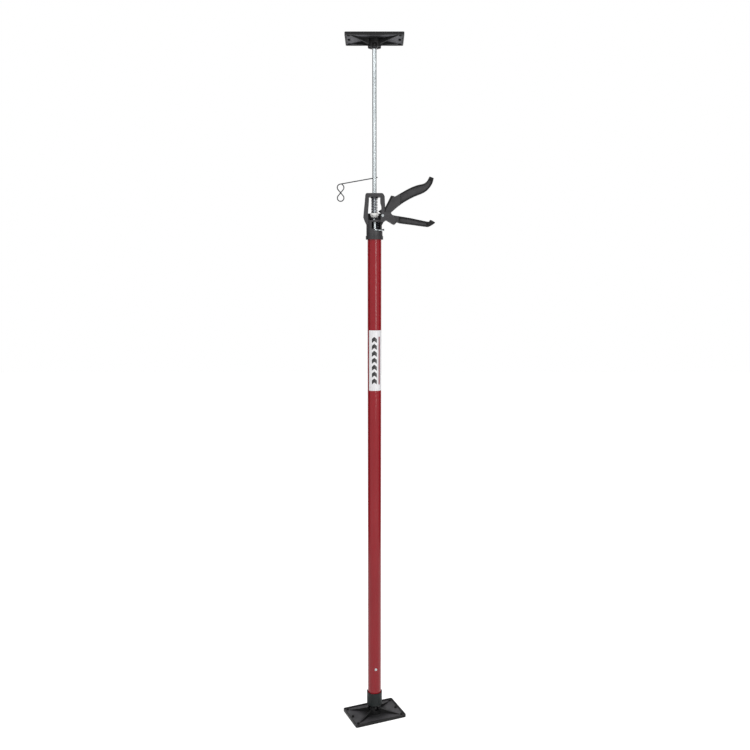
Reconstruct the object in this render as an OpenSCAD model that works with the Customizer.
// Telescopic drywall support pole.
// A red tube stands on a tilting foot pad. A steel rod slides out of its top and carries a
// second pad. A sprung squeeze handle on the head walks the rod up through a drive plate,
// and a tilted lock plate holds it against the load.
// Origin: middle of the foot pad's resting face. +Z runs up the pole, +X points to the handles.

/* [Tube] */
// Outer diameter of the main tube
tube_d = 40; // [38:0.5:48]
// Wall of the main tube
tube_wall = 1.2; // [0.8:0.1:2]
// Length of the main tube
tube_l = 1422.5; // [1200:0.5:2200]
// Height of the label on the tube
label_h = 176; // [60:1:300]
// Label's upper edge below the head
label_drop = 260; // [100:1:500]
// Angle that the label wraps round the tube
label_wrap = 156; // [60:1:300]
// Rivet above the bottom end of the tube
rivet_up = 112.5; // [60:0.5:160]

/* [Rod] */
// Outer diameter of the push rod
rod_d = 12; // [10:0.5:13.5]
// Wall of the push rod
rod_wall = 1.5; // [1:0.1:2.5]
// Length of the push rod
rod_l = 1503; // [700:1:1700]
// Length of rod that stands out of the head
rod_out = 396.3; // [150:1:600]
// Length of the guide on the rod's lower end
guide_l = 30; // [15:1:60]
// Safety pin's hole above the head
pin_up = 43.4; // [20:0.1:80]
// Wire diameter of the safety pin
pin_d = 3; // [2:0.1:4]
// Straight leg of the safety pin, left of the rod's axis
pin_leg = 98.3; // [50:0.1:140]
// Radius of the safety pin's two rings, at the middle of the wire
pin_ring_r = 9.4; // [7:0.1:16]

/* [Pads] */
// Long side of each pad
pad_l = 164; // [120:1:240]
// Short side of each pad
pad_w = 111; // [80:1:180]
// Corner radius of each pad
pad_corner_r = 5; // [2:0.5:12]
// Thickness of the rubber sheet
sole_t = 3; // [2:0.5:6]
// Thickness of the plate's web
plate_t = 2.6; // [2:0.1:5]
// Height of the plate's rim
rim_h = 5.2; // [3:0.1:10]
// Width of the plate's rim
rim_w = 4; // [2:0.5:8]
// Thickness of the diagonal ribs
rib_t = 4; // [2:0.5:8]
// Height of the boss above the ball's centre
mouth_up = 7.5; // [6:0.1:8.5]
// Wall of the socket boss round the ball's cup
boss_wall = 6.8; // [3:0.1:9]
// Radius of the screw holes in the pads
pad_hole_r = 2.6; // [1.5:0.1:4]
// Distance from a hole's centre to the pad's edges
hole_inset = 11; // [8:0.5:20]
// Turn of the foot pad about the pole
foot_yaw = 22.9; // [-90:0.1:90]
// Radius of the ball
ball_r = 11; // [10:0.1:13]
// Radius of the neck that carries the ball
neck_r = 4.6; // [3.5:0.1:5]
// Wall of the nylon cup round the ball
cup_wall = 1.4; // [1:0.1:2]

/* [Foot collar] */
// Height of the collar round the tube
collar_h = 39.5; // [25:0.5:80]
// Wall of the collar
collar_wall = 3; // [2:0.5:6]
// Bare neck between the foot's boss and the collar
neck_free = 7.5; // [7:0.5:15]

/* [Head] */
// Length of tube inside the head's sleeve
sleeve_over = 20; // [14:1:40]
// Wall of the sleeve
sleeve_wall = 3.2; // [2:0.1:5]
// Height of the bead round the sleeve's lower end
bead_h = 10; // [4:1:20]
// Proud height of that bead
bead_proud = 1.8; // [0.5:0.1:4]
// Height of the lock room
lock_room_h = 26.5; // [22:0.5:36]
// Thickness of the deck between lock room and drive room
deck_t = 4.5; // [3:0.5:8]
// Free height of the main spring
spring_l = 43; // [36:1:60]
// Wire diameter of the main spring
spring_wire = 2; // [1.4:0.1:2.4]
// Height of the white spring seat
seat_h = 12; // [9:1:16]
// Thickness of the head's top bar
top_bar_t = 10.5; // [7:0.5:20]
// Wall of the cheeks beside the squeeze handle
cheek_wall = 4.4; // [3:0.1:7]

/* [Handles] */
// Diameter of the handle's pivot pin
pivot_d = 6; // [4:0.5:8]
// Reach of the squeeze handle from its pivot
handle_reach = 146; // [120:1:180]
// Rise of the squeeze handle above its pivot
handle_rise = 110; // [100:1:130]
// Reach of the fixed grip from the pivot
grip_reach = 150; // [130:1:180]
// Depth of the fixed grip's lowest point below the pivot
grip_drop = 31; // [28:0.5:36]
// Width of both handles' edge flanges, seen from the side
flange_t = 3.4; // [2:0.1:4.5]
// Thickness of the web between those flanges
web_t = 7; // [4:0.5:12]

/* [Hidden] */
$fn = 64;

// Clearances, and the overrun of every cut
run_gap = 0.08;
loose_gap = 0.3;
hold_gap = 0.02;
over = 1;

// Pads, balls and their cups
cup_r = ball_r + run_gap + cup_wall;
socket_r = cup_r + run_gap;
socket_floor = 4.8;
ball_z = socket_floor + sole_t + socket_r;
pad_h = ball_z + mouth_up;
boss_r = socket_r + boss_wall;
mouth_r = sqrt(socket_r * socket_r - mouth_up * mouth_up);
mouth_chamfer = 1.6;
mouth_rim = 3;
cup_mouth_gap = 1.2;
cup_slit_w = 2;
cup_drain_r = 4;
boss_slot_w = 12;
boss_slot_deep = 2;
hole_boss_wall = 1.4;
hole_boss_rise = 1;
hole_x = pad_l / 2 - hole_inset;
hole_y = pad_w / 2 - hole_inset;
rib_drop = 6;
rib_tip_h = 0.8;
rib_foot_share = 0.92;
rib_knee_shares = [0.55, 0.5];
thread_step = 0.6;
thread_r = neck_r - thread_step;
thread_l = 14;

// Tube, foot collar and rivet
tube_r = tube_d / 2;
tube_in_r = tube_r - tube_wall;
collar_z = pad_h + neck_free;
collar_base = 4;
collar_mouth_h = 4;
collar_mouth_rim = 0.8;
tube_z = collar_z + collar_base;
tube_top = tube_z + tube_l;
collar_r = tube_r + hold_gap + collar_wall;
plug_r = tube_in_r - hold_gap;
plug_wall = 3;
plug_in_r = plug_r - plug_wall;
plug_floor = 3;
rivet_z = tube_z + rivet_up;
rivet_turn = 13;
rivet_r = 2;
rivet_head_r = 4;
rivet_head_h = 1.9;
rivet_seat_gap = 0.6;
plug_over = 10;
plug_top = rivet_z + plug_over;
label_t = 0.25;
label_start = 219;
bush_l = 30;

// Rod
rod_r = rod_d / 2;
rod_in_r = rod_r - rod_wall;
rod_bore = rod_r + run_gap;
rod_free = rod_r + loose_gap;

// Levels of the head, from its lower end to its top
head_z = tube_top - sleeve_over;
sleeve_r = tube_r + sleeve_wall;
floor_t = 3;
lock_floor = tube_top + floor_t;
deck_under = lock_floor + lock_room_h;
deck_top = deck_under + deck_t;
prong_t = 4.4;
prong_z = deck_top + loose_gap;
drive_t = 3;
drive_z = prong_z + prong_t + loose_gap;
seat_z = drive_z + drive_t;
spring_z = seat_z + seat_h;
spring_top = spring_z + spring_l;
bush_flange_t = 2.5;
bar_under = spring_top + bush_flange_t;
head_top = bar_under + top_bar_t;
head_h = head_top - head_z;
rod_hole_r = rod_r + 4 * loose_gap;

// Main spring, seat, drive plate and fork
spring_side = 1.8;
spring_r = rod_r + spring_side + spring_wire / 2;
seat_rim = 3.2;
seat_r = spring_r + spring_wire / 2 + seat_rim;
seat_cone_share = 0.5;
seat_foot = 2;
seat_slots = 6;
seat_slot_w = 4;
seat_slot_share = 0.62;
prong_side = 0.8;
prong_in = rod_r + prong_side;
prong_w = 3;
hub_y = prong_in + prong_w;
slot_side = 0.5;
slot_y = hub_y + slot_side;
cheek_y = slot_y + cheek_wall;
drive_side = 2.2;
drive_y = hub_y + drive_side;
drive_corner = 2;
pocket_side = 1.2;
pocket_y = drive_y + pocket_side;
pocket_x = seat_r + 4 * pocket_side;
pocket_h = 21;

// Handle pivot
hub_r = 9;
hub_side = 1.8;
pivot_x = seat_r + hub_side + hub_r;
pivot_up = 8;
pivot_z = drive_z + pivot_up;
pivot_r = pivot_d / 2;
pivot_head_step = 0.8;
pivot_head_h = 1.6;
cheek_step = 1;
cheek_r = hub_r + cheek_step;
clip_step = 2.6;
clip_r = pivot_r + clip_step;
clip_t = 1;
prong_x = 4;

// Half width of the head at its shoulders
shoulder_side = 8.2;
shoulder_x = pivot_x + shoulder_side;

// Lock plate, its spring and its cap
lock_t = 2.5;
lock_tilt = 2;
lock_axis_up = 4.5;
lock_axis_z = lock_floor + lock_axis_up;
lock_wall = 4;
lock_room_r = sleeve_r - lock_wall;
lock_side = 1.2;
lock_body_r = lock_room_r - lock_side;
lock_body_x = 12.5;
lock_axis_x = -lock_room_r + 2 * lock_side;
lock_tab_y = 6.7;
lock_tab_over = 2.8;
lock_tab_x = sleeve_r + lock_tab_over;
lock_hole_r = rod_r + 1.5 * loose_gap;
lock_window_x = 8;
lock_window_y = 9;
lock_sill_x = 2;
lock_sill_h = 7;
fulcrum_w = 5;
cap_l = 12.5;
cap_t = 3;
cap_lip = 2;
lock_spring_wire = 0.9;
lock_spring_r = 2.6;
lock_spring_out = (rod_r + lock_room_r) / 2;
lock_spring_turn = 42;
lock_spring_x = lock_spring_out * cos(lock_spring_turn);
lock_spring_y = lock_spring_out * sin(lock_spring_turn);

// Coil springs: rings of each turn, and end turns that lie closer than the rest
coil_rings = 8;
coil_sides = 6;
end_turns = 0.75;
end_gap = 0.7;
main_turns = 10;
lock_turns = 8;

// Bushes and the head's screw
bush_wall = 2.6;
bush_body_r = rod_r + bush_wall;
bush_rim = 1;
bush_flange_r = spring_r + spring_wire / 2 + bush_rim;
screw_r = 1.8;
screw_head_r = 3.6;
screw_head_h = 2.2;
screw_l = 10;
screw_slot_share = 0.6;

// Outline of the head above its sleeve, as shares of its half width and its height
head_left_shares = [
  [0.736, 0.328], [0.885, 0.404], [1, 0.48], [0.981, 0.535], [0.876, 0.772], [0.81, 0.956],
  [0.77, 0.985], [0.69, 1]
];
head_right_shares = [
  [0.69, 1], [0.82, 0.975], [0.91, 0.93], [0.938, 0.783], [0.953, 0.729], [0.953, 0.5],
  [0.82, 0.385], [0.7, 0.328]
];
window_left_shares = [[0.575, 0.577], [0.528, 0.729], [0.49, 0.85]];
window_right_shares = [[0.51, 0.87], [0.519, 0.794], [0.609, 0.729], [0.627, 0.642]];

// Squeeze handle, as shares of its reach and rise, from the pivot
handle_back_shares = [[0.01, 0.12], [0.16, 0.512], [0.19, 0.508]];
handle_top_shares = [
  [0.238, 0.489], [0.339, 0.566], [0.458, 0.654], [0.562, 0.722], [0.674, 0.776], [0.79, 0.812],
  [0.855, 0.872], [0.908, 0.995]
];
handle_low_shares = [
  [0.99, 0.955], [0.96, 0.813], [0.882, 0.673], [0.785, 0.585], [0.61, 0.49],
  [0.434, 0.367], [0.297, 0.24], [0.178, 0.106]
];
handle_hub_shares = [[0.67, -0.72], [-0.75, 0.6]];
nub_shares = [[-0.084, 0.115], [-0.03, 0.16], [0.02, 0.12], [-0.02, 0.05]];

// Fixed grip, as shares of its reach and drop, from the pivot
grip_top_shares = [
  [0.173, 0.07], [0.25, 0], [0.52, -0.213], [0.71, -0.403], [0.867, -0.545], [0.893, -0.432],
  [0.92, -0.4], [0.997, -0.603]
];
grip_low_shares = [
  [0.985, -0.7], [0.883, -0.977], [0.807, -0.977], [0.52, -0.794], [0.328, -0.677],
  [0.27, -0.584]
];
grip_root_shares = [[0.232, -0.74], [0.205, -0.775], [0.061, -0.38]];
cheek_crotch_shares = [[0.12, 0.3], [0.15, 0.3], [0.16, 0.24], [0.164, 0.16], [0.18, 0.08]];
cheek_low_shares = [
  [0.25, -0.3], [0.233, -0.768], [0.204, -0.803], [0.061, -0.403], [0.013, -0.558]
];
slot_floor_shares = [0.5, 0.3];
slot_crotch_shares = [0.175, 0.06];
slot_top_shares = [0.4, 0.23];
line_steps = 5;
grip_web_skip = [7, 6, 4];
handle_web_skip = [5, 2, 3, 7];
prong_root_share = 0.8;
cheek_turn = 18;

// Safety pin: droop in its loose hole, end past the rod, and its figure of eight
pin_droop = 10;
pin_tip = 2.7;
pin_side = 0.3;
pin_cross_turn = 40;
pin_sides = 8;
pin_turn_step = 12;
pin_last_turn = 66;
pin_rise_share = 0.35;
pin_hole_r = pin_d / 2 / cos(pin_droop) + rod_r * tan(pin_droop) + hold_gap;
pin_z = head_top + pin_up;

// Top pad, and the parts on the rod's lower end
neck_top_free = 4;
neck_top_l = mouth_up + neck_top_free;
rod_top = head_top + rod_out;
rod_z = rod_top - rod_l;
pole_h = rod_top + neck_top_l + ball_z;
guide_z = rod_z + loose_gap;
ring_t = 1.2;
ring_step = 2.5;
ring_r = rod_r + ring_step;
ring_z = guide_z + guide_l + loose_gap;
end_screw_h = 3;

// Vectors, curves through points and lines set in from them
function unit(v) = v / norm(v);
function left_of(v) = [-v.y, v.x];
function placed(shares, w, h) = [
  for (p = shares) [pivot_x + p.x * w, pivot_z + p.y * h]
];
function spline(a, b, c, d, t) =
  b + (c - a) * t / 2 + (2 * a - 5 * b + 4 * c - d) * t * t / 2
  + (3 * b - a - 3 * c + d) * t * t * t / 2;
function smooth_line(p) = [
  for (i = [0:len(p) - 2])
    for (k = [0:line_steps - 1])
      spline(p[max(i - 1, 0)], p[i], p[i + 1], p[min(i + 2, len(p) - 1)], k / line_steps),
  p[len(p) - 1]
];
function set_in(p, d, first, last) = [
  for (i = [first:len(p) - 1 - last])
    p[i] - left_of(unit(p[min(i + 1, len(p) - 1)] - p[max(i - 1, 0)])) * d
];

// A round-cornered rectangle
module round_rect(l, w, r) {
  square([l - 2 * r, w], center = true);
  square([l, w - 2 * r], center = true);
  for (x = [-1, 1], y = [-1, 1])
    translate([x * (l / 2 - r), y * (w / 2 - r)])
      circle(r);
}

// An outline in X and Z, as thick in Y as from y0 to y1
module upright(y0, y1) {
  translate([0, y1, 0])
    rotate([90, 0, 0])
      linear_extrude(y1 - y0)
        children();
}

// Both outer layers of a piece that lies between -y and y, outside a web
module outside_web(y) {
  upright(web_t / 2, y + over)
    children();
  upright(-y - over, -web_t / 2)
    children();
}

// A round bar along Y, centred on the pole's middle plane
module cross_bar(x, z, r, half_l) {
  translate([x, half_l, z])
    rotate([90, 0, 0])
      cylinder(r = r, h = 2 * half_l);
}

// A tube of a few sides swept along points, with closed ends
function ring_axes(p, i, up) =
  let (
    t = unit(p[min(i + 1, len(p) - 1)] - p[max(i - 1, 0)]),
    s = unit(cross(t, up))
  )
  [s, cross(s, t)];
module swept_tube(p, r, sides, up) {
  points = [
    for (i = [0:len(p) - 1])
      let (f = ring_axes(p, i, up))
        for (k = [0:sides - 1])
          p[i] + r * (f[0] * cos(360 * k / sides) + f[1] * sin(360 * k / sides))
  ];
  walls = [
    for (i = [0:len(p) - 2], k = [0:sides - 1])
      let (a = i * sides + k, b = i * sides + (k + 1) % sides)
        each [[a, b, a + sides], [b, b + sides, a + sides]]
  ];
  last = (len(p) - 1) * sides;
  caps = [
    for (k = [1:sides - 2])
      each [[0, k + 1, k], [last, last + k, last + k + 1]]
  ];
  polyhedron(points, concat(walls, caps));
}

// Compression springs: the height of a turn, the line through the wire and its least gap
function coil_height(t, turns, l, close) =
  let (
    flat = end_turns * close,
    open = (l - 2 * flat) / (turns - 2 * end_turns)
  )
  t < end_turns ? t * close
  : t > turns - end_turns ? l - (turns - t) * close
  : flat + (t - end_turns) * open;
function coil_line(turns, r, l, wire) = [
  for (i = [0:turns * coil_rings])
    let (t = i / coil_rings)
      [
        r * cos(360 * t), r * sin(360 * t),
        coil_height(t, turns, l - wire, wire + end_gap) + wire / 2
      ]
];
function coil_gap(p, wire) = min([
  for (i = [0:len(p) - 1])
    for (j = [i + coil_rings / 2:1:len(p) - 1])
      norm(p[j] - p[i]) - wire
]);
lock_spring_foot =
  lock_axis_z + lock_t / 2 / cos(lock_tilt) + hold_gap
  - (lock_spring_x - lock_spring_r - lock_axis_x) * tan(lock_tilt);
main_line = coil_line(main_turns, spring_r, spring_l, spring_wire);
lock_line =
  coil_line(lock_turns, lock_spring_r, deck_under - lock_spring_foot, lock_spring_wire);
echo("main spring, least gap to itself in mm", coil_gap(main_line, spring_wire));
echo("lock spring, least gap to itself in mm", coil_gap(lock_line, lock_spring_wire));

// Pads: drawn with the rubber's outer face at zero and the boss upwards
module hole_places() {
  for (x = [-1, 1], y = [-1, 0, 1])
    translate([x * hole_x, y * hole_y, 0])
      children();
}
module pad_holes(h) {
  hole_places()
    translate([0, 0, -over])
      cylinder(r = pad_hole_r, h = h + 2 * over);
}
module pad_sole() {
  difference() {
    linear_extrude(sole_t)
      round_rect(pad_l, pad_w, pad_corner_r);
    pad_holes(sole_t);
  }
}
module diagonal_rib(side_x, side_y) {
  run = norm([hole_x, hole_y]) * rib_foot_share;
  root = (socket_r + boss_r) / 2;
  foot = sole_t + plate_t + rib_tip_h;
  top = pad_h - rib_drop;
  rotate([0, 0, atan2(side_y * hole_y, side_x * hole_x)])
    upright(-rib_t / 2, rib_t / 2)
      polygon([
        [root, sole_t], [run, sole_t], [run, foot],
        [run * rib_knee_shares[0], foot + (top - foot) * rib_knee_shares[1]], [root, top]
      ]);
}
module pad_body() {
  translate([0, 0, sole_t])
    linear_extrude(plate_t)
      round_rect(pad_l, pad_w, pad_corner_r);
  translate([0, 0, sole_t])
    linear_extrude(rim_h)
      difference() {
        round_rect(pad_l, pad_w, pad_corner_r);
        square([pad_l - 2 * rim_w, pad_w - 2 * rim_w], center = true);
      }
  hole_places()
    translate([0, 0, sole_t])
      cylinder(r = pad_hole_r + hole_boss_wall, h = rim_h + hole_boss_rise);
  for (x = [-1, 1], y = [-1, 1])
    diagonal_rib(x, y);
  translate([0, 0, sole_t])
    cylinder(r = boss_r, h = pad_h - sole_t);
}
module pad_plate() {
  difference() {
    pad_body();
    translate([0, 0, ball_z])
      sphere(socket_r);
    translate([0, 0, ball_z])
      cylinder(r = mouth_r, h = pad_h);
    translate([0, 0, pad_h - mouth_chamfer])
      cylinder(r1 = mouth_r, r2 = boss_r - mouth_rim, h = mouth_chamfer + hold_gap);
    for (turn = [0, 90])
      rotate([0, 0, turn])
        translate([-boss_r - over, -boss_slot_w / 2, ball_z - boss_slot_deep])
          cube([2 * (boss_r + over), boss_slot_w, pad_h]);
    pad_holes(pad_h);
  }
}
module pad_cup() {
  translate([0, 0, ball_z])
    difference() {
      sphere(cup_r);
      sphere(ball_r + run_gap);
      translate([0, 0, mouth_up - cup_mouth_gap])
        cylinder(r = cup_r + over, h = cup_r);
      translate([0, 0, -cup_r - over])
        cylinder(r = cup_drain_r, h = cup_r);
      for (turn = [45, 135])
        rotate([0, 0, turn])
          translate([-cup_r - over, -cup_slit_w / 2, 0])
            cube([2 * (cup_r + over), cup_slit_w, cup_r + over]);
    }
}
module at_foot() {
  rotate([0, 0, foot_yaw])
    children();
}
module at_top() {
  translate([0, 0, pole_h])
    rotate([180, 0, 0])
      children();
}
module foot_sole() {
  color("#1b1b1c")
    at_foot()
      pad_sole();
}
module foot_plate() {
  color("#2a2b2d")
    at_foot()
      pad_plate();
}
module foot_ball_cup() {
  color("#232427")
    at_foot()
      pad_cup();
}
module foot_ball_stud() {
  color("#3c3d40")
    translate([0, 0, ball_z]) {
      sphere(ball_r);
      cylinder(r = neck_r, h = collar_z - ball_z);
      cylinder(r = thread_r, h = collar_z - ball_z + thread_l);
    }
}
module top_sole() {
  color("#1b1b1c")
    at_top()
      pad_sole();
}
module top_plate() {
  color("#2a2b2d")
    at_top()
      pad_plate();
}
module top_ball_cup() {
  color("#232427")
    at_top()
      pad_cup();
}
module top_ball_stud() {
  color("#3c3d40")
    at_top()
      translate([0, 0, ball_z]) {
        sphere(ball_r);
        cylinder(r = neck_r, h = neck_top_l);
        cylinder(r = rod_in_r - hold_gap, h = neck_top_l + thread_l);
      }
}

// Foot collar: a sleeve outside the tube and a plug inside it, joined under its end
module foot_collar() {
  color("#2a2b2d")
    difference() {
      union() {
        translate([0, 0, collar_z])
          cylinder(r = collar_r, h = collar_h);
        translate([0, 0, collar_z])
          cylinder(r = plug_r, h = plug_top - collar_z);
      }
      // Room for the tube's wall, under a mouth that opens outwards
      difference() {
        union() {
          translate([0, 0, tube_z])
            cylinder(r = tube_r + hold_gap, h = collar_h);
          translate([0, 0, collar_z + collar_h - collar_mouth_h])
            cylinder(
              r1 = tube_r + hold_gap, r2 = collar_r - collar_mouth_rim,
              h = collar_mouth_h + hold_gap
            );
        }
        cylinder(r = plug_r, h = plug_top + over);
      }
      translate([0, 0, collar_z + thread_l + plug_floor])
        cylinder(r = plug_in_r, h = plug_top);
      translate([0, 0, collar_z - over])
        cylinder(r = thread_r + hold_gap, h = thread_l + over + hold_gap);
      rivet_place()
        cylinder(r = rivet_r + hold_gap, h = tube_r);
    }
}

// The rivet stands on the tube's front, a little to the right, with +Z outwards
module rivet_place() {
  translate([0, 0, rivet_z])
    rotate([90, 0, rivet_turn])
      children();
}
module tube_rivet() {
  color("#d9dadb")
    rivet_place()
      rotate_extrude()
        polygon([
          [0, plug_in_r - over], [rivet_r, plug_in_r - over], [rivet_r, tube_r + hold_gap],
          [rivet_head_r, tube_r + hold_gap], [rivet_head_r, tube_r + rivet_seat_gap],
          [rivet_head_r / 2, tube_r + rivet_head_h - rivet_seat_gap / 2],
          [0, tube_r + rivet_head_h]
        ]);
}
module main_tube() {
  color("#9c2b31")
    difference() {
      translate([0, 0, tube_z])
        cylinder(r = tube_r, h = tube_l);
      translate([0, 0, tube_z - over])
        cylinder(r = tube_in_r, h = tube_l + 2 * over);
      rivet_place()
        cylinder(r = rivet_r + hold_gap, h = tube_r + over);
      screw_place()
        cylinder(r = screw_r + hold_gap, h = screw_l);
    }
}
module tube_label() {
  color("#eceef0")
    translate([0, 0, head_z - label_drop - label_h])
      rotate([0, 0, label_start])
        rotate_extrude(angle = label_wrap)
          translate([tube_r + hold_gap, 0])
            square([label_t, label_h]);
}
module tube_guide_bush() {
  color("#d8d6cf")
    difference() {
      translate([0, 0, tube_top - bush_l])
        cylinder(r = tube_in_r - hold_gap, h = bush_l);
      translate([0, 0, tube_top - bush_l - over])
        cylinder(r = rod_bore, h = bush_l + 2 * over);
      screw_place()
        cylinder(r = screw_r + hold_gap, h = screw_l);
    }
}

// The head's screw enters the sleeve from behind
module screw_place() {
  translate([0, sleeve_r - screw_l, head_z + (bead_h + sleeve_over) / 2])
    rotate([-90, 0, 0])
      children();
}
module head_screw() {
  color("#b9bcc0")
    screw_place() {
      cylinder(r = screw_r, h = screw_l + screw_head_h / 2);
      translate([0, 0, screw_l])
        difference() {
          cylinder(r = screw_head_r, h = screw_head_h);
          for (turn = [0, 90])
            rotate([0, 0, turn])
              translate([
                -screw_head_r * screw_slot_share, -screw_r / 4, screw_head_h / 2
              ])
                cube([2 * screw_head_r * screw_slot_share, screw_r / 2, screw_head_h]);
        }
    }
}

// Outlines of the head, in X and Z
function head_side(shares, side) = [
  for (p = shares) [side * shoulder_x * p.x, head_z + head_h * p.y]
];
module head_outline() {
  polygon(concat(head_side(head_left_shares, -1), head_side(head_right_shares, 1)));
}
module window_outline() {
  polygon(concat(
    [[-pocket_x, deck_top]],
    head_side(window_left_shares, -1),
    [[-shoulder_x * window_left_shares[2].x, bar_under]],
    [[shoulder_x * window_right_shares[0].x, bar_under]],
    head_side(window_right_shares, 1),
    [[pocket_x, deck_top]]
  ));
}
function grip_top_line() = smooth_line(placed(grip_top_shares, grip_reach, grip_drop));
function grip_low_line() = smooth_line(placed(grip_low_shares, grip_reach, grip_drop));
module grip_outline() {
  polygon(concat(
    grip_top_line(), grip_low_line(), placed(grip_root_shares, grip_reach, grip_drop)
  ));
}
module grip_hollow() {
  polygon(concat(
    set_in(grip_top_line(), flange_t, grip_web_skip[0], 3 * line_steps + 1),
    set_in(grip_low_line(), flange_t, grip_web_skip[1], grip_web_skip[2])
  ));
}
module cheek_outline() {
  translate([pivot_x, pivot_z])
    circle(cheek_r);
  polygon(concat(
    [
      [pivot_x - cheek_r, deck_under], [pivot_x - cheek_r, pivot_z],
      [pivot_x + cheek_r * sin(cheek_turn), pivot_z + cheek_r * cos(cheek_turn)]
    ],
    placed(cheek_crotch_shares, grip_reach, grip_drop),
    placed(cheek_low_shares, grip_reach, grip_drop)
  ));
}
module handle_slot_outline() {
  polygon([
    [seat_r, deck_top],
    [pivot_x, deck_top],
    [pivot_x + hub_r * slot_floor_shares[0], deck_top + deck_t * slot_floor_shares[1]],
    [pivot_x + grip_reach * slot_crotch_shares[0], pivot_z + grip_drop * slot_crotch_shares[1]],
    [pivot_x + handle_reach * slot_top_shares[0], pivot_z + handle_rise * slot_top_shares[1]],
    [seat_r, pivot_z + handle_rise * slot_top_shares[1]]
  ]);
}
module head_solid() {
  translate([0, 0, head_z])
    cylinder(r = sleeve_r, h = deck_top - head_z);
  translate([0, 0, head_z])
    cylinder(r = sleeve_r + bead_proud, h = bead_h);
  intersection() {
    upright(-cheek_y, cheek_y)
      head_outline();
    translate([0, 0, head_z])
      cylinder(r = shoulder_x + loose_gap, h = head_h + over);
  }
  upright(-cheek_y, cheek_y)
    cheek_outline();
  upright(-hub_y, hub_y)
    grip_outline();
}
module head_rooms() {
  // Tube socket, lock room, rod hole and the upper bush's bore
  translate([0, 0, head_z - over])
    cylinder(r = tube_r + hold_gap, h = sleeve_over + over);
  translate([0, 0, lock_floor])
    cylinder(r = lock_room_r, h = lock_room_h);
  translate([0, 0, head_z])
    cylinder(r = rod_hole_r, h = head_h / 2);
  translate([0, 0, spring_top])
    cylinder(r = bush_body_r + hold_gap, h = head_h);
  // Lock window, open to the front and to the right, with a sill left of the rod
  translate([-lock_window_x, -shoulder_x, lock_floor + lock_sill_h])
    cube([
      lock_window_x + lock_tab_x + over, shoulder_x + lock_window_y, lock_room_h - lock_sill_h
    ]);
  translate([lock_sill_x, -shoulder_x, lock_floor])
    cube([lock_tab_x + over - lock_sill_x, shoulder_x + lock_window_y, lock_room_h]);
  // Drive room: a pocket below, and above it a window that goes right through
  upright(-cheek_y - over, pocket_y)
    window_outline();
  upright(-cheek_y - over, cheek_y + over)
    intersection() {
      window_outline();
      translate([-shoulder_x, deck_top + pocket_h])
        square([2 * shoulder_x, head_h]);
    }
  upright(-slot_y, slot_y)
    handle_slot_outline();
  cross_bar(pivot_x, pivot_z, pivot_r + hold_gap, cheek_y + over);
  screw_place()
    cylinder(r = screw_r + hold_gap, h = screw_l + over);
  outside_web(hub_y)
    grip_hollow();
}

// Rest for the lock plate's round left end
module fulcrum() {
  difference() {
    translate([-sleeve_r + lock_wall / 2, -lock_tab_y, lock_floor - floor_t / 2])
      cube([
        lock_wall / 2 + 2 * lock_side + lock_t / 4, 2 * lock_tab_y,
        fulcrum_w + 2 * lock_axis_up
      ]);
    cross_bar(lock_axis_x, lock_axis_z, lock_t / 2 + loose_gap, lock_tab_y + over);
    translate([lock_axis_x, -lock_tab_y - over, lock_axis_z - lock_t / 2 - loose_gap])
      cube([fulcrum_w, 2 * (lock_tab_y + over), lock_t + 2 * loose_gap]);
  }
}
module head_housing() {
  color("#333438") {
    difference() {
      head_solid();
      head_rooms();
    }
    fulcrum();
  }
}
module upper_guide_bush() {
  color("#2d2e31")
    difference() {
      union() {
        translate([0, 0, spring_top])
          cylinder(r = bush_flange_r, h = bush_flange_t);
        translate([0, 0, spring_top])
          cylinder(r = bush_body_r, h = head_top - spring_top);
      }
      translate([0, 0, spring_top - over])
        cylinder(r = rod_bore, h = head_top - spring_top + 2 * over);
    }
}

// Squeeze handle: hub and fork between the cheeks, block and arm outside them
function handle_top_line() = smooth_line(placed(handle_top_shares, handle_reach, handle_rise));
function handle_low_line() = smooth_line(placed(handle_low_shares, handle_reach, handle_rise));
module handle_outline() {
  circle_at_pivot(hub_r);
  polygon(concat(
    placed(handle_back_shares, handle_reach, handle_rise),
    handle_top_line(),
    handle_low_line(),
    placed(handle_hub_shares, hub_r, hub_r)
  ));
  polygon(placed(nub_shares, handle_reach, handle_rise));
}
module circle_at_pivot(r) {
  translate([pivot_x, pivot_z])
    circle(r);
}
module handle_hollow() {
  polygon(concat(
    set_in(handle_top_line(), flange_t, handle_web_skip[0], handle_web_skip[1]),
    set_in(handle_low_line(), flange_t, handle_web_skip[2], handle_web_skip[3])
  ));
}
module prong_outline() {
  translate([prong_x, prong_z + prong_t / 2])
    circle(prong_t / 2);
  polygon([
    [prong_x, prong_z], [pivot_x - hub_r / 2, prong_z], [pivot_x, pivot_z],
    [pivot_x - hub_r * prong_root_share, prong_z + prong_t], [prong_x, prong_z + prong_t]
  ]);
}
module squeeze_handle() {
  color("#333438")
    difference() {
      union() {
        upright(-hub_y, hub_y)
          handle_outline();
        upright(prong_in, hub_y)
          prong_outline();
        upright(-hub_y, -prong_in)
          prong_outline();
      }
      cross_bar(pivot_x, pivot_z, pivot_r + run_gap, hub_y + over);
      outside_web(hub_y)
        handle_hollow();
    }
}
module handle_pivot_pin() {
  color("#c9ccd0") {
    cross_bar(pivot_x, pivot_z, pivot_r, cheek_y + clip_t);
    translate([pivot_x, -cheek_y, pivot_z])
      rotate([90, 0, 0])
        cylinder(r = pivot_r + pivot_head_step, h = pivot_head_h);
  }
}
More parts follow.
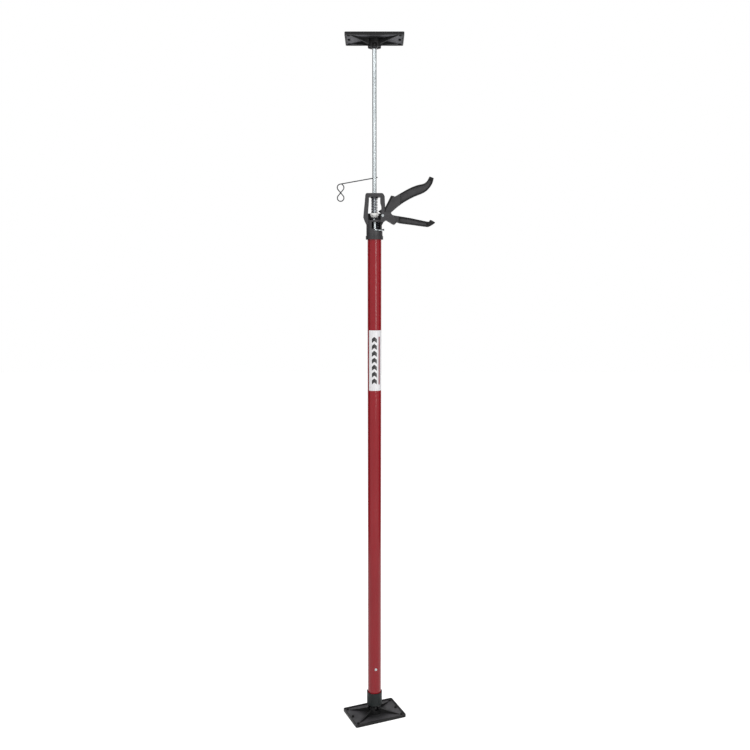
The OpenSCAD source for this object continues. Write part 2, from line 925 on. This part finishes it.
module pivot_clip() {
  color("#8f9295")
    translate([pivot_x, cheek_y + clip_t, pivot_z])
      rotate([90, 0, 0])
        difference() {
          cylinder(r = clip_r, h = clip_t);
          translate([0, 0, -over])
            cylinder(r = pivot_r + hold_gap, h = clip_t + 2 * over);
          for (turn = [0, 120, 240])
            rotate([0, 0, turn])
              translate([pivot_r, -clip_t / 2, -over])
                cube([clip_step / 2, clip_t, clip_t + 2 * over]);
        }
}

// Drive plate, white spring seat and main spring
module drive_plate() {
  color("#3c3d40")
    difference() {
      translate([0, 0, drive_z])
        linear_extrude(drive_t)
          round_rect(2 * seat_r, 2 * drive_y, drive_corner);
      translate([0, 0, drive_z - over])
        cylinder(r = rod_free, h = drive_t + 2 * over);
    }
}
module spring_seat() {
  color("#eeeeea")
    translate([0, 0, seat_z])
      difference() {
        rotate_extrude()
          polygon([
            [rod_free, 0], [rod_r + seat_foot, 0], [seat_r, seat_h * seat_cone_share],
            [seat_r, seat_h], [rod_free, seat_h]
          ]);
        for (k = [1:seat_slots])
          rotate([0, 0, 360 * k / seat_slots])
            translate([rod_r + seat_foot / 2, -seat_slot_w / 2, -over])
              cube([seat_r, seat_slot_w, over + seat_h * seat_slot_share]);
      }
}
module main_spring() {
  color("#c3c6ca")
    translate([0, 0, spring_z])
      swept_tube(main_line, spring_wire / 2, coil_sides, [0, 0, 1]);
}

// Lock plate, tilted about its round left end, with its thumb cap and its spring
module tilted() {
  translate([lock_axis_x, 0, lock_axis_z])
    rotate([0, lock_tilt, 0])
      translate([-lock_axis_x, 0, -lock_axis_z])
        children();
}
module lock_plate() {
  color("#bcbfc3")
    difference() {
      tilted() {
        cross_bar(lock_axis_x, lock_axis_z, lock_t / 2, lock_tab_y - loose_gap);
        translate([0, 0, lock_axis_z - lock_t / 2])
          linear_extrude(lock_t) {
            translate([lock_axis_x, -lock_tab_y + loose_gap])
              square([lock_tab_x - lock_axis_x, 2 * (lock_tab_y - loose_gap)]);
            intersection() {
              circle(lock_body_r);
              square([2 * lock_body_x, 2 * lock_body_r], center = true);
            }
          }
      }
      translate([0, 0, lock_floor])
        cylinder(r = lock_hole_r, h = lock_room_h);
    }
}
module release_cap() {
  color("#232427")
    tilted()
      upright(-lock_tab_y, lock_tab_y)
        polygon([
          [lock_tab_x + cap_lip, lock_axis_z - lock_t / 2],
          [lock_tab_x + cap_lip, lock_axis_z + lock_t / 2 + cap_t],
          [lock_tab_x + cap_lip - cap_l, lock_axis_z + lock_t / 2 + cap_t / 2],
          [lock_tab_x + cap_lip - cap_l, lock_axis_z + lock_t / 2],
          [lock_tab_x, lock_axis_z + lock_t / 2],
          [lock_tab_x, lock_axis_z - lock_t / 2]
        ]);
}
module lock_spring() {
  color("#aeb1b5")
    translate([lock_spring_x, lock_spring_y, lock_spring_foot])
      swept_tube(lock_line, lock_spring_wire / 2, coil_sides, [0, 0, 1]);
}

// Rod, its guide in the tube and the parts that hold the guide on
module push_rod() {
  color("#c9cfd0")
    difference() {
      translate([0, 0, rod_z])
        cylinder(r = rod_r, h = rod_l);
      translate([0, 0, rod_z - over])
        cylinder(r = rod_in_r, h = rod_l + 2 * over);
      translate([-rod_r - over, 0, pin_z])
        rotate([0, 90, 0])
          cylinder(r = pin_hole_r, h = 2 * (rod_r + over));
    }
}
module rod_guide() {
  color("#d8d6cf")
    difference() {
      translate([0, 0, guide_z])
        cylinder(r = tube_in_r - loose_gap, h = guide_l);
      translate([0, 0, guide_z - over])
        cylinder(r = rod_bore, h = guide_l + 2 * over);
    }
}
module rod_ring() {
  color("#8f9295")
    translate([0, 0, ring_z])
      difference() {
        cylinder(r = ring_r, h = ring_t);
        translate([0, 0, -over])
          cylinder(r = rod_r + hold_gap, h = ring_t + 2 * over);
      }
}
module rod_end_screw() {
  color("#8f9295") {
    translate([0, 0, rod_z - ring_t])
      cylinder(r = rod_in_r - hold_gap, h = thread_l);
    translate([0, 0, rod_z - ring_t])
      cylinder(r = ring_r, h = ring_t);
    translate([0, 0, rod_z - ring_t - end_screw_h])
      cylinder(r = rod_r, h = end_screw_h, $fn = 6);
  }
}

// Safety pin: a straight leg through the rod, and a figure of eight bent from the same wire
function pin_arc(z, from, to, way) = [
  for (k = [0:floor(abs(to - from) / pin_turn_step)])
    let (a = from + way * k * pin_turn_step)
      [pin_ring_r * cos(a), 0, z + pin_ring_r * sin(a)]
];
pin_reach = pin_ring_r / sin(pin_cross_turn);
pin_flat_line = concat(
  pin_arc(0, 90 + pin_droop, 180 + pin_cross_turn, 1),
  [[0, 0, -pin_reach]],
  pin_arc(-2 * pin_reach, pin_cross_turn, -180 - pin_cross_turn, -1),
  [[0, 0, -pin_reach]],
  pin_arc(0, -pin_cross_turn, pin_last_turn, 1)
);
function soft_step(t) = t <= 0 ? 0 : t >= 1 ? 1 : t * t * (3 - 2 * t);
pin_line = [
  for (i = [0:len(pin_flat_line) - 1])
    pin_flat_line[i]
    + [0, (pin_d + pin_side) * soft_step(i / len(pin_flat_line) / pin_rise_share - 1), 0]
];
module safety_pin() {
  color("#76797c") {
    translate([0, 0, pin_z])
      rotate([0, 90 - pin_droop, 0])
        translate([0, 0, -pin_leg / cos(pin_droop)])
          cylinder(r = pin_d / 2, h = pin_leg / cos(pin_droop) + rod_r + pin_tip);
    translate([
      -pin_leg + pin_ring_r * sin(pin_droop), 0,
      pin_z - pin_leg * tan(pin_droop) - pin_ring_r * cos(pin_droop)
    ])
      swept_tube(pin_line, pin_d / 2 - hold_gap, pin_sides, [0, 1, 0]);
  }
}

foot_sole();
foot_plate();
foot_ball_cup();
foot_ball_stud();
foot_collar();
main_tube();
tube_label();
tube_rivet();
tube_guide_bush();
head_housing();
head_screw();
upper_guide_bush();
squeeze_handle();
handle_pivot_pin();
pivot_clip();
drive_plate();
spring_seat();
main_spring();
lock_plate();
release_cap();
lock_spring();
push_rod();
rod_guide();
rod_ring();
rod_end_screw();
safety_pin();
top_ball_stud();
top_ball_cup();
top_plate();
top_sole();
